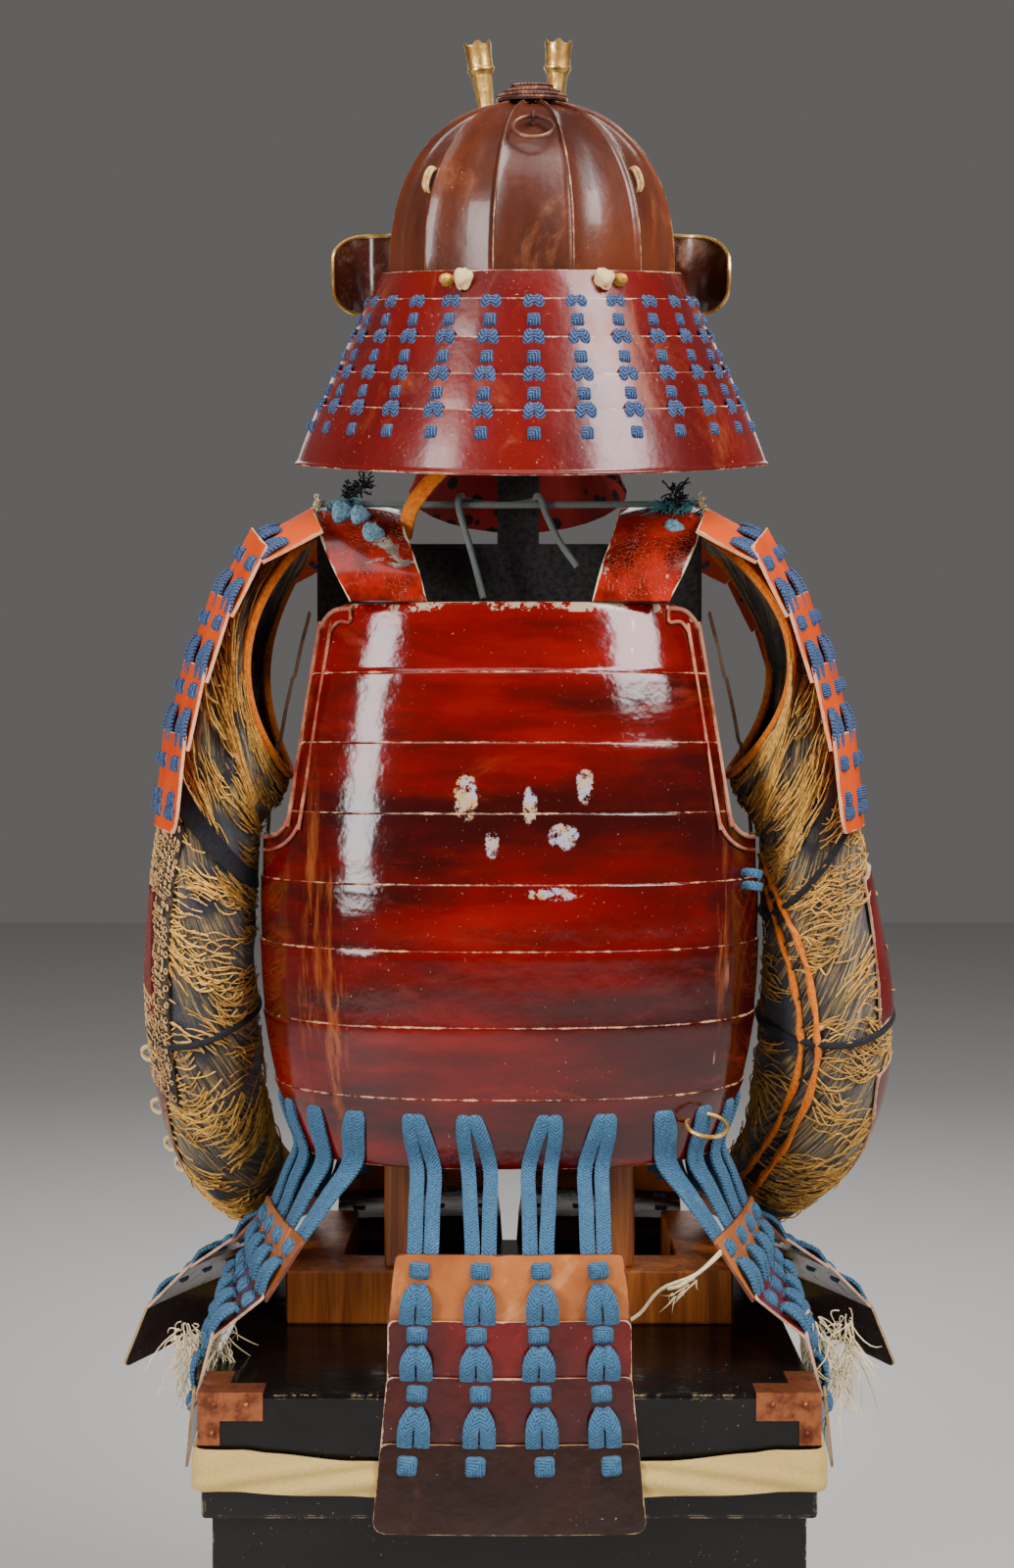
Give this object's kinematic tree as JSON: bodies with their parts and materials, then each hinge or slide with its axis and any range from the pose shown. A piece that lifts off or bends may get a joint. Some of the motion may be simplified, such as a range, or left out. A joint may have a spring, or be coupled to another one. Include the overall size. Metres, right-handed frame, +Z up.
{
  "type": "samurai armour on its stand and storage chest",
  "caption": "Japanese lacquered armour with helmet, shoulder guards, sleeves, cuirass, tassets and thigh guards, hung on a wooden stand on its lacquered storage chest",
  "frame": {"origin": "centre of the bounding box at floor level, under the chest", "axes": "+Z up, -Y out of the armour's back, +X to the wearer's right"},
  "size_m": [0.6066, 0.4389, 1.4619],
  "materials": {
    "black_lacquer": "gloss black lacquer on wood, pale chips along the edges",
    "copper": "worn red-brown copper",
    "wood": "orange-brown satin varnish",
    "black_felt": "black felt",
    "red_lacquer": "deep red gloss lacquer on iron, chipped pale at the plate edges",
    "brown_lacquer": "russet-brown lacquer on iron",
    "orange_lacquer": "orange-red lacquer, worn",
    "gilt": "worn gilt",
    "iron": "dark russet iron",
    "brocade": "navy cloth under frayed gold thread",
    "green_cord": "dark green braided cord",
    "mail_cloth": "dark cloth sewn with iron mail",
    "belt_cloth": "twisted beige cotton"
  },
  "bodies": {
    "armour": {"chest_body": "black_lacquer", "chest_lid": "black_lacquer", "cuirass_back": "red_lacquer", "cuirass_front": "red_lacquer", "elbow_plate_left": "red_lacquer", "elbow_plate_right": "red_lacquer", "forearm_plate_left": "red_lacquer", "forearm_plate_right": "red_lacquer", "hand_guard_left": "red_lacquer", "hand_guard_right": "red_lacquer", "hanging_cord": "green_cord", "helmet_bowl": "brown_lacquer", "helmet_crest": "gilt", "helmet_crown": "iron", "helmet_ring_staple": "iron", "helmet_visor": "brown_lacquer", "lid_corner_back_left": "copper", "lid_corner_back_right": "copper", "lid_corner_front_left": "copper", "lid_corner_front_right": "copper", "neck_guard_lame_1": "red_lacquer", "neck_guard_lame_2": "red_lacquer", "neck_guard_lame_3": "red_lacquer", "neck_guard_lame_4": "red_lacquer", "neck_guard_lame_5": "red_lacquer", "shoulder_cord": "green_cord", "shoulder_guard_left_lame_1": "orange_lacquer", "shoulder_guard_left_lame_2": "orange_lacquer", "shoulder_guard_left_lame_3": "orange_lacquer", "shoulder_guard_left_lame_4": "orange_lacquer", "shoulder_guard_left_lame_5": "orange_lacquer", "shoulder_guard_right_lame_1": "orange_lacquer", "shoulder_guard_right_lame_2": "orange_lacquer", "shoulder_guard_right_lame_3": "orange_lacquer", "shoulder_guard_right_lame_4": "orange_lacquer", "shoulder_guard_right_lame_5": "orange_lacquer", "shoulder_strap_left": "red_lacquer", "shoulder_strap_right": "red_lacquer", "sleeve_left": "brocade", "sleeve_right": "brocade", "stand_base": "wood", "stand_head_post": "black_felt", "stand_post_left": "wood", "stand_post_right": "wood", "stand_shoulder_bar": "black_felt", "tasset_back": "brown_lacquer", "tasset_back_left": "brown_lacquer", "tasset_back_right": "brown_lacquer", "tasset_front_left": "brown_lacquer", "tasset_front_right": "brown_lacquer", "tasset_side_left": "brown_lacquer", "tasset_side_right": "brown_lacquer", "thigh_guard_belt": "belt_cloth", "thigh_guard_left": "mail_cloth", "thigh_guard_right": "mail_cloth", "throat_guard": "red_lacquer", "turnback_left": "brown_lacquer", "turnback_right": "brown_lacquer"},
    "ring": {"helmet_ring": "iron"}
  },
  "joints": [
    {"name": "helmet_ring_hinge", "type": "hinge", "parent": "armour", "child": "ring", "pos_m": [0.0165, -0.13606, 1.35027], "axis": [-1, 0, 0], "range_deg": [0, 140]}
  ]
}
